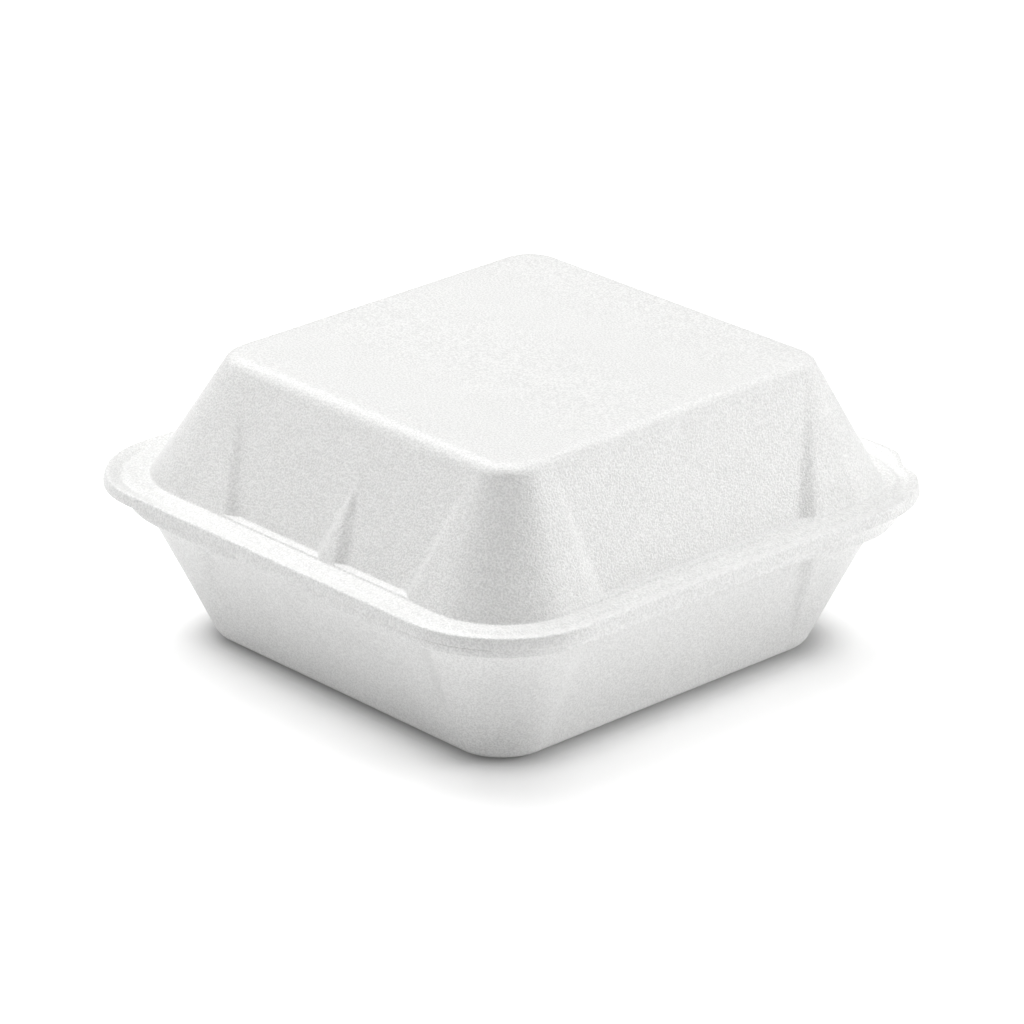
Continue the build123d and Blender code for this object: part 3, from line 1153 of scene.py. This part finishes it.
@dataclass
class Base:
    """Lower half of the box: floor, walls and the flange with the latch's notch."""

    measures: Measures
    columns: Columns
    sheet: float = 2.1
    gap: float = 0.06
    side_setback: float = 0.9
    front_setback: float = 0.1
    corners: tuple[float, float, float, float] = (27.4, 37.0, 37.0, 35.0)
    rim_inset: float = 6.95
    draw_in: float = 15.4
    rim_drift: tuple[float, float] = (0.0, -0.7)
    foot_drift: tuple[float, float] = (0.2, -1.2)
    rim_corner: float = 21.5
    foot_corner: float = 13.0
    foot_round: float = 4.0
    ring_width: float = 13.0
    recess_corner: float = 9.0
    recess_depth: float = 1.2
    top_round: float = 0.08
    under_round: float = 0.45
    droop: float = 2.1
    panel_depth: float = 1.8
    panel_fade: float = 30.0
    panel_lip: float = 0.2
    inner_shift: float = 1.4
    notch_left: float = -16.5
    notch_right: float = 12.3
    notch_depth: float = 3.2
    notch_left_end: float = 6.0
    notch_right_end: float = 1.4
    droop_width: float = 130.0
    droop_end: float = 45.0
    mouth_round: float = 0.4
    mouth_share: float = 0.06
    # Where the rings lie: shares of the way across a face, depths under a face, or how many
    floor_shares: Shares = (0.1, 0.4, 0.7, 0.95, 0.99)
    step_shares: Shares = (0.0, 0.2, 0.5, 0.8, 1.0)
    ring_shares: Shares = (0.08, 0.5)
    inner_wall_rings: int = 33
    inner_wall_clear: float = 0.9
    mouth_depths: Shares = (0.75, 0.65, 0.5)
    mouth_shares: Shares = (0.0, 0.33, 0.67, 1.0)
    flange_shares: Shares = (0.25, 0.5, 0.75, 0.92)
    top_angles: Shares = (90.0, 60.0, 30.0, 0.0)
    under_angles: Shares = (0.0, 22.0, 45.0, 67.0, 90.0)
    under_shares: Shares = (0.15, 0.3, 0.45, 0.6, 0.75, 0.9, 0.97)
    rim_depths: Shares = (0.0, 0.08, 0.2, 0.35, 0.6)
    wall_rings: int = 37
    wall_clear: float = 1.0

    def __post_init__(self) -> None:
        """Work out the heights and the walls from the driving sizes."""
        self.height = self.measures.fold_z - self.gap / 2
        self.rim_z = self.height - self.sheet
        self.walls = Walls(
            0.0,
            self.measures.box_half - self.rim_inset - self.draw_in,
            self.foot_corner,
            self.foot_drift,
            self.rim_z,
            self.draw_in,
            self.rim_corner - self.foot_corner,
            self.rim_drift,
            1,
            self.columns,
        )
        half = self.measures.box_half
        self.flange = Flange(
            half - self.side_setback, half - self.front_setback, self.corners, self.columns
        )
        self.inset = self.sheet * math.sqrt(1 + self.walls.lean**2)

    def pressings(self) -> list[Pressing]:
        """Place the panel of each wall.

        Returns:
            The pressings.
        """
        deep = self.panel_depth
        return [
            Pressing(Wall.FRONT, deep, -31.0, 38.0, -40.0, 40.0, 4.6, 7.0),
            Pressing(Wall.RIGHT, deep, -37.0, 28.0, -40.0, 36.0, 6.5, 4.6),
            Pressing(Wall.BACK, deep, -32.0, 32.0, -40.0, 40.0, 4.4, 4.4),
            Pressing(Wall.LEFT, deep, -28.0, 37.0, -40.0, 40.0, 4.4, 4.4),
        ]

    def plate(
        self, sheet: Sheet, edge: np.ndarray, level: float, inner: float, outwards: bool
    ) -> None:
        """Add one face of the floor, with its raised middle.

        Args:
            sheet: the skin that gets the rings.
            edge: the ring where the floor's rounding begins.
            level: height of this face over the ring that the box stands on.
            inner: 1 on the inside of the box.
            outwards: whether the rings run from the middle outwards.
        """
        step, foot = (
            rounded_ring(
                self.walls.plate_half - self.ring_width + wider,
                self.walls.plate_half - self.ring_width + wider,
                (self.recess_corner + wider,) * 4,
                self.columns,
            )[0]
            + self.foot_drift
            for wider in (0.0, self.recess_depth)
        )
        rings = [(step * share, self.recess_depth) for share in self.floor_shares]
        for share in self.step_shares:
            rise = self.recess_depth * (1 - smooth(share, 0.0, 1.0))
            rings.append((step + (foot - step) * share, rise))
        rings.extend((foot + (edge - foot) * share, 0.0) for share in self.ring_shares)
        for points, rise in rings if outwards else reversed(rings):
            sheet.add(points, level + rise, DRAW.floor, inner=inner)

    def inner_rows(self, sheet: Sheet) -> None:
        """Add the inside, from the middle of the floor up to the mouth.

        Args:
            sheet: the skin that gets the rings.
        """
        inner_round = self.walls.plate_round(self.sheet, self.inset, self.foot_round - self.sheet)
        self.plate(sheet, inner_round[0][0], self.sheet, 1.0, outwards=True)
        for points, z in inner_round:
            sheet.add(points, z, DRAW.base_inside, pressed=1.0, inner=1.0)
        low, high = inner_round[-1][1], self.height - self.inner_wall_clear
        heights = list(np.linspace(low, high, self.inner_wall_rings + 1)[1:])
        heights += [self.height - down for down in self.mouth_depths]
        for z in heights:
            sheet.add(self.walls.ring(z, self.inset), z, DRAW.base_inside, pressed=1.0, inner=1.0)

    def flange_rows(self, sheet: Sheet) -> None:
        """Add the mouth's rounding and the flange, with its notch and its droop at the hinge.

        Args:
            sheet: the skin that gets the rings.
        """
        spots = self.flange.edge(0.0)
        notch = smooth(spots[:, 0], self.notch_left, self.notch_left + self.notch_left_end)
        notch *= 1 - smooth(spots[:, 0], self.notch_right - self.notch_right_end, self.notch_right)
        notch = notch * (spots[:, 1] < 0) * self.notch_depth
        to_corner = np.abs(spots[:, 0]) - spots[:, 1]
        hang = self.droop * window(to_corner, 0.0, self.droop_width, self.droop_end)
        hang = hang * (spots[:, 1] > 0)
        below = self.walls.ring(self.height - self.mouth_round, self.inset)
        mouth = self.walls.ring(self.height, self.inset)
        lip = mouth + (spots - mouth) * self.mouth_share
        for share in self.mouth_shares:
            z = self.height - self.mouth_round * (1 - share) ** 2
            sheet.add(bend(below, mouth, lip, share), z, DRAW.base_inside)
        inside = self.flange.nicked_edge(-self.under_round - notch)
        for share in self.flange_shares:
            sheet.add(lip + (inside - lip) * share, self.height, DRAW.base_inside)
        for points, rise in self.flange.rounding(self.top_round, self.top_angles, notch):
            sheet.add(points, self.height - rise, DRAW.base)
        for points, rise in self.flange.rounding(self.under_round, self.under_angles, notch):
            sheet.add(points, self.rim_z - hang + rise, DRAW.base)
        root = self.walls.ring(self.rim_z, 0.0)
        for share in self.under_shares:
            z = self.rim_z - hang * (1 - share) ** 2 * (1 + 2 * share)
            sheet.add(inside + (root - inside) * share, z, DRAW.base)

    def outer_rows(self, sheet: Sheet) -> None:
        """Add the outside, from under the flange down to the middle of the underside.

        Args:
            sheet: the skin that gets the rings.
        """
        outer_round = self.walls.plate_round(0.0, 0.0, self.foot_round)
        low, high = outer_round[-1][1], self.rim_z - self.wall_clear
        heights = [self.rim_z - down for down in self.rim_depths]
        heights += list(np.linspace(high, low, self.wall_rings + 1)[:-1])
        for z in heights:
            sheet.add(self.walls.ring(z, 0.0), z, DRAW.base, pressed=1.0)
        for points, z in reversed(outer_round):
            sheet.add(points, z, DRAW.base, pressed=1.0)
        self.plate(sheet, outer_round[0][0], 0.0, 0.0, outwards=False)

    def shell(self) -> Sheet:
        """Lay the rings from the middle of the floor inside, round the rim, to the underside.

        Returns:
            The base's whole skin.
        """
        sheet = Sheet()
        self.inner_rows(sheet)
        self.flange_rows(sheet)
        self.outer_rows(sheet)
        return sheet

    def build(self, finish: bpy.types.Material) -> bpy.types.Object:
        """Build the base's shell, press its panels and put it in place of the CAD base.

        Args:
            finish: the foam.

        Returns:
            The piece, which rides on the base.
        """
        piece = self.shell().build("base_shell")
        press = PressTree(self.rim_z, self.panel_fade, -1, self.inner_shift, self.panel_lip)
        press.press(piece, self.pressings(), finish)
        settle(piece)
        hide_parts("base")
        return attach(piece, "base")


@dataclass
class HingeWeb:
    """Thin web of crushed foam, folded behind the back edges."""

    measures: Measures
    length: float = 100.0
    thickness: float = 0.4
    fold_radius: float = 0.3
    root: float = 6.0
    segments: int = 80
    bend_steps: int = 14

    def outline(self) -> list[tuple[float, float]]:
        """Go round the web's section, from the base's side to the lid's and back.

        Returns:
            Places back and up, in order.
        """
        half = self.thickness / 2
        start_y = self.measures.box_half - self.root
        loop = []
        for offset, order in ((half, 1), (-half, -1)):
            reach = self.fold_radius + offset
            side = [(start_y, self.measures.fold_z - reach)]
            side.append((self.measures.box_half, self.measures.fold_z - reach))
            for step in range(self.bend_steps + 1):
                turn = math.pi * (step / self.bend_steps - 0.5)
                side.append(
                    (
                        self.measures.fold_y + reach * math.cos(turn),
                        self.measures.fold_z + reach * math.sin(turn),
                    )
                )
            side.append((self.measures.box_half, self.measures.fold_z + reach))
            side.append((start_y, self.measures.fold_z + reach))
            loop.extend(side[::order])
        return loop

    def build(self, finish: bpy.types.Material) -> bpy.types.Object:
        """Build the folded web between the base and the lid.

        Args:
            finish: the foam.

        Returns:
            The piece, which stays where it is built and is parented to neither half.
        """
        loop = self.outline()
        count = len(loop)
        places = []
        for number in range(self.segments + 1):
            x = self.length * (number / self.segments - 0.5)
            places.extend((x * MM, y * MM, z * MM) for y, z in loop)
        faces = [tuple(reversed(range(count)))]
        for number in range(self.segments):
            low = number * count
            for spot in range(count):
                after = (spot + 1) % count
                faces.append((low + spot, low + after, low + count + after, low + count + spot))
        faces.append(tuple(self.segments * count + spot for spot in range(count)))
        mesh = bpy.data.meshes.new("hinge_web")
        mesh.from_pydata(places, [], faces)
        layer = mesh.attributes.new(DRAWN, "FLOAT", "POINT")
        layer.data.foreach_set("value", [DRAW.web] * len(places))
        mesh.shade_smooth()
        mesh.materials.append(finish)
        piece = bpy.data.objects.new("hinge_web", mesh)
        bpy.context.collection.objects.link(piece)
        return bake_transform(piece)


# The studio


@dataclass(frozen=True)
class SoftBox:
    """A square studio lamp that looks at the middle of the box.

    Its side is in millimetres, as all sizes are, and its power in watts.
    """

    name: str
    azimuth: float
    elevation: float
    side: float
    power: float
    distance: float = 1300.0

    def build(self, target: Vector) -> None:
        """Make the lamp.

        Args:
            target: the point that it faces, in metres.
        """
        lamp = bpy.data.lights.new(self.name, "AREA")
        lamp.shape = "SQUARE"
        lamp.size = self.side * MM
        lamp.energy = self.power
        holder = bpy.data.objects.new(self.name, lamp)
        back = direction(self.azimuth, self.elevation)
        holder.location = target + back * self.distance * MM
        holder.rotation_euler = (-back).to_track_quat("-Z", "Y").to_euler()
        bpy.context.collection.objects.link(holder)


@dataclass(frozen=True)
class Studio:
    """Pale floor, soft lamps and the camera at the photograph's angle.

    The floor is darkest where the foot touches it, in the lamps' shadow and in a painted
    shadow that only the camera sees, which turns the card grey there. Away from the foot it
    comes to white by a little light of its own that only the camera sees.
    """

    azimuth: float = 47.22
    elevation: float = 23.06
    distance: float = 1219.0
    target_z: float = 30.64
    side_shift: float = -0.64
    focal_pixels: float = 5215.0
    sensor_width: float = 36.0
    clip_start: float = 50.0
    clip_end: float = 30000.0
    white: str = "#FFFFFF"
    card: str = "#FAFAFA"
    # Grey of the painted shadow by the foot, which only the camera sees
    painted_shadow_grey: str = "#404040"
    floor_half: float = 4000.0
    foot_half: float = 51.5
    foot_corner: float = 12.0
    # Where the painted shadow starts and ends, out from the foot's outline, and its strength
    painted_shadow_start: float = -1.0
    painted_shadow_reach: float = 9.0
    painted_shadow_strength: float = 0.33
    glow_reach: float = 15.0
    glow: float = 0.36
    world_strength: float = 0.0

    def camera(self) -> None:
        """Make the camera and give it to the scene."""
        data = bpy.data.cameras.new("camera")
        data.sensor_width = self.sensor_width
        data.lens = self.sensor_width * self.focal_pixels / IMAGE_SIDE
        data.clip_start = self.clip_start * MM
        data.clip_end = self.clip_end * MM
        holder = bpy.data.objects.new("camera", data)
        back = direction(self.azimuth, self.elevation)
        turn = math.radians(self.azimuth)
        right = Vector((math.cos(turn), math.sin(turn), 0.0))
        target = Vector((0.0, 0.0, self.target_z))
        holder.location = (target + back * self.distance + right * self.side_shift) * MM
        holder.rotation_euler = (-back).to_track_quat("-Z", "Y").to_euler()
        bpy.context.collection.objects.link(holder)
        bpy.context.scene.camera = holder

    def lamps(self) -> None:
        """Make the soft lamps on both sides and above."""
        target = Vector((0.0, 0.0, self.target_z)) * MM
        boxes = (
            SoftBox("left_softbox", -45.0, 12.0, 700.0, 3.3),
            SoftBox("left_back_softbox", -92.0, 45.0, 1100.0, 7.6),
            SoftBox("right_softbox", 140.0, 12.0, 700.0, 8.9),
            SoftBox("front_softbox", 47.0, 8.0, 700.0, 3.4),
            SoftBox("top_softbox", 227.0, 80.0, 1400.0, 17.6),
        )
        for box in boxes:
            box.build(target)

    def world(self) -> None:
        """Show the camera white air, which gives the box no light of its own."""
        world = bpy.data.worlds.new("studio_air")
        bpy.context.scene.world = world
        world.use_nodes = True
        tree = world.node_tree
        tree.nodes.clear()
        rays = add_node(tree, "ShaderNodeLightPath").outputs
        seen = add_node(
            tree,
            "ShaderNodeMath",
            {"operation": "MAXIMUM"},
            {0: rays["Is Camera Ray"], 1: rays["Is Transmission Ray"]},
        )
        strength = add_node(
            tree,
            "ShaderNodeMix",
            {"data_type": "FLOAT"},
            {"Factor": seen, "A": self.world_strength, "B": 1.0},
        )
        air = add_node(
            tree,
            "ShaderNodeBackground",
            None,
            {"Color": linear(self.white), "Strength": strength},
        )
        add_node(tree, "ShaderNodeOutputWorld", None, {"Surface": air})

    def floor(self) -> None:
        """Make the floor: matt white card that turns pure white away from the box."""
        half = self.floor_half * MM
        mesh = bpy.data.meshes.new("floor")
        corners = [(-half, -half, 0), (half, -half, 0), (half, half, 0), (-half, half, 0)]
        mesh.from_pydata(corners, [], [(0, 1, 2, 3)])
        floor = bpy.data.objects.new("floor", mesh)
        bpy.context.collection.objects.link(floor)
        mesh.materials.append(self.floor_card())

    def floor_card(self) -> bpy.types.Material:
        """Build the floor's material: uncoated card, dull, with no gloss of its own.

        Returns:
            A node material on Object coordinates, with a painted shadow by the foot's edge.
        """
        material = bpy.data.materials.new("matt_white_card")
        material.use_nodes = True
        tree = material.node_tree
        tree.nodes.clear()
        place = add_node(tree, "ShaderNodeTexCoord").outputs["Object"]
        flat = add_node(tree, "ShaderNodeVectorMath", {"operation": "ABSOLUTE"}, {0: place})
        core = (self.foot_half - self.foot_corner) * MM
        beyond = add_node(
            tree, "ShaderNodeVectorMath", {"operation": "SUBTRACT"}, {0: flat, 1: (core, core, 0.0)}
        )
        outside = add_node(
            tree, "ShaderNodeVectorMath", {"operation": "MAXIMUM"}, {0: beyond, 1: (0.0, 0.0, 0.0)}
        )
        length = add_node(tree, "ShaderNodeVectorMath", {"operation": "LENGTH"}, {0: outside})
        away = add_node(
            tree,
            "ShaderNodeMath",
            {"operation": "SUBTRACT"},
            {0: length.outputs["Value"], 1: self.foot_corner * MM},
        )
        rays = add_node(tree, "ShaderNodeLightPath").outputs
        # Painted shadow: strongest at the foot's outline and gone a few millimetres out
        painted_shadow_ramp = add_node(
            tree,
            "ShaderNodeMapRange",
            {"interpolation_type": "SMOOTHSTEP"},
            {
                "Value": away,
                "From Min": self.painted_shadow_start * MM,
                "From Max": self.painted_shadow_reach * MM,
                "To Min": self.painted_shadow_strength,
                "To Max": 0.0,
            },
        )
        # Only camera rays get the painted shadow
        camera_painted_shadow = add_node(
            tree, "ShaderNodeMath", {"operation": "MULTIPLY"}, {0: painted_shadow_ramp, 1: rays["Is Camera Ray"]}
        )
        # The card's colour, turned grey by the painted shadow
        white = add_node(
            tree,
            "ShaderNodeMix",
            {"data_type": "RGBA"},
            {"Factor": camera_painted_shadow, "A": linear(self.card), "B": linear(self.painted_shadow_grey)},
        )
        card = add_node(tree, "ShaderNodeBsdfDiffuse", None, {"Color": white})
        fade = add_node(
            tree,
            "ShaderNodeMapRange",
            {"interpolation_type": "SMOOTHSTEP"},
            {
                "Value": away,
                "From Min": 0.0,
                "From Max": self.glow_reach * MM,
                "To Min": 0.0,
                "To Max": self.glow,
            },
        )
        glow = add_node(
            tree,
            "ShaderNodeMath",
            {"operation": "MULTIPLY"},
            {0: fade, 1: rays["Is Camera Ray"]},
        )
        light = add_node(
            tree, "ShaderNodeEmission", None, {"Color": linear(self.white), "Strength": glow}
        )
        both = add_node(tree, "ShaderNodeAddShader", None, {0: card, 1: light})
        add_node(tree, "ShaderNodeOutputMaterial", None, {"Surface": both})
        return material

    def build(self) -> None:
        """Make the camera, the lamps, the world and the floor."""
        self.camera()
        self.lamps()
        self.world()
        self.floor()
        bpy.context.scene.view_settings.view_transform = "Standard"


def main() -> None:
    """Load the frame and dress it."""
    logging.basicConfig(level=logging.INFO, format="%(name)s: %(message)s")
    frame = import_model()
    measures = Measures.from_frame(frame)
    log.info("frame: half width %.1f, height %.1f", measures.box_half, measures.top_z)
    columns = Columns()
    foam = FoamFinish().material()
    for part in (Base(measures, columns), Lid(measures, columns), HingeWeb(measures)):
        piece = part.build(foam)
        log.info("%s: %d faces", piece.name, len(piece.data.polygons))
    Studio().build()


if __name__ == "__main__":
    main()
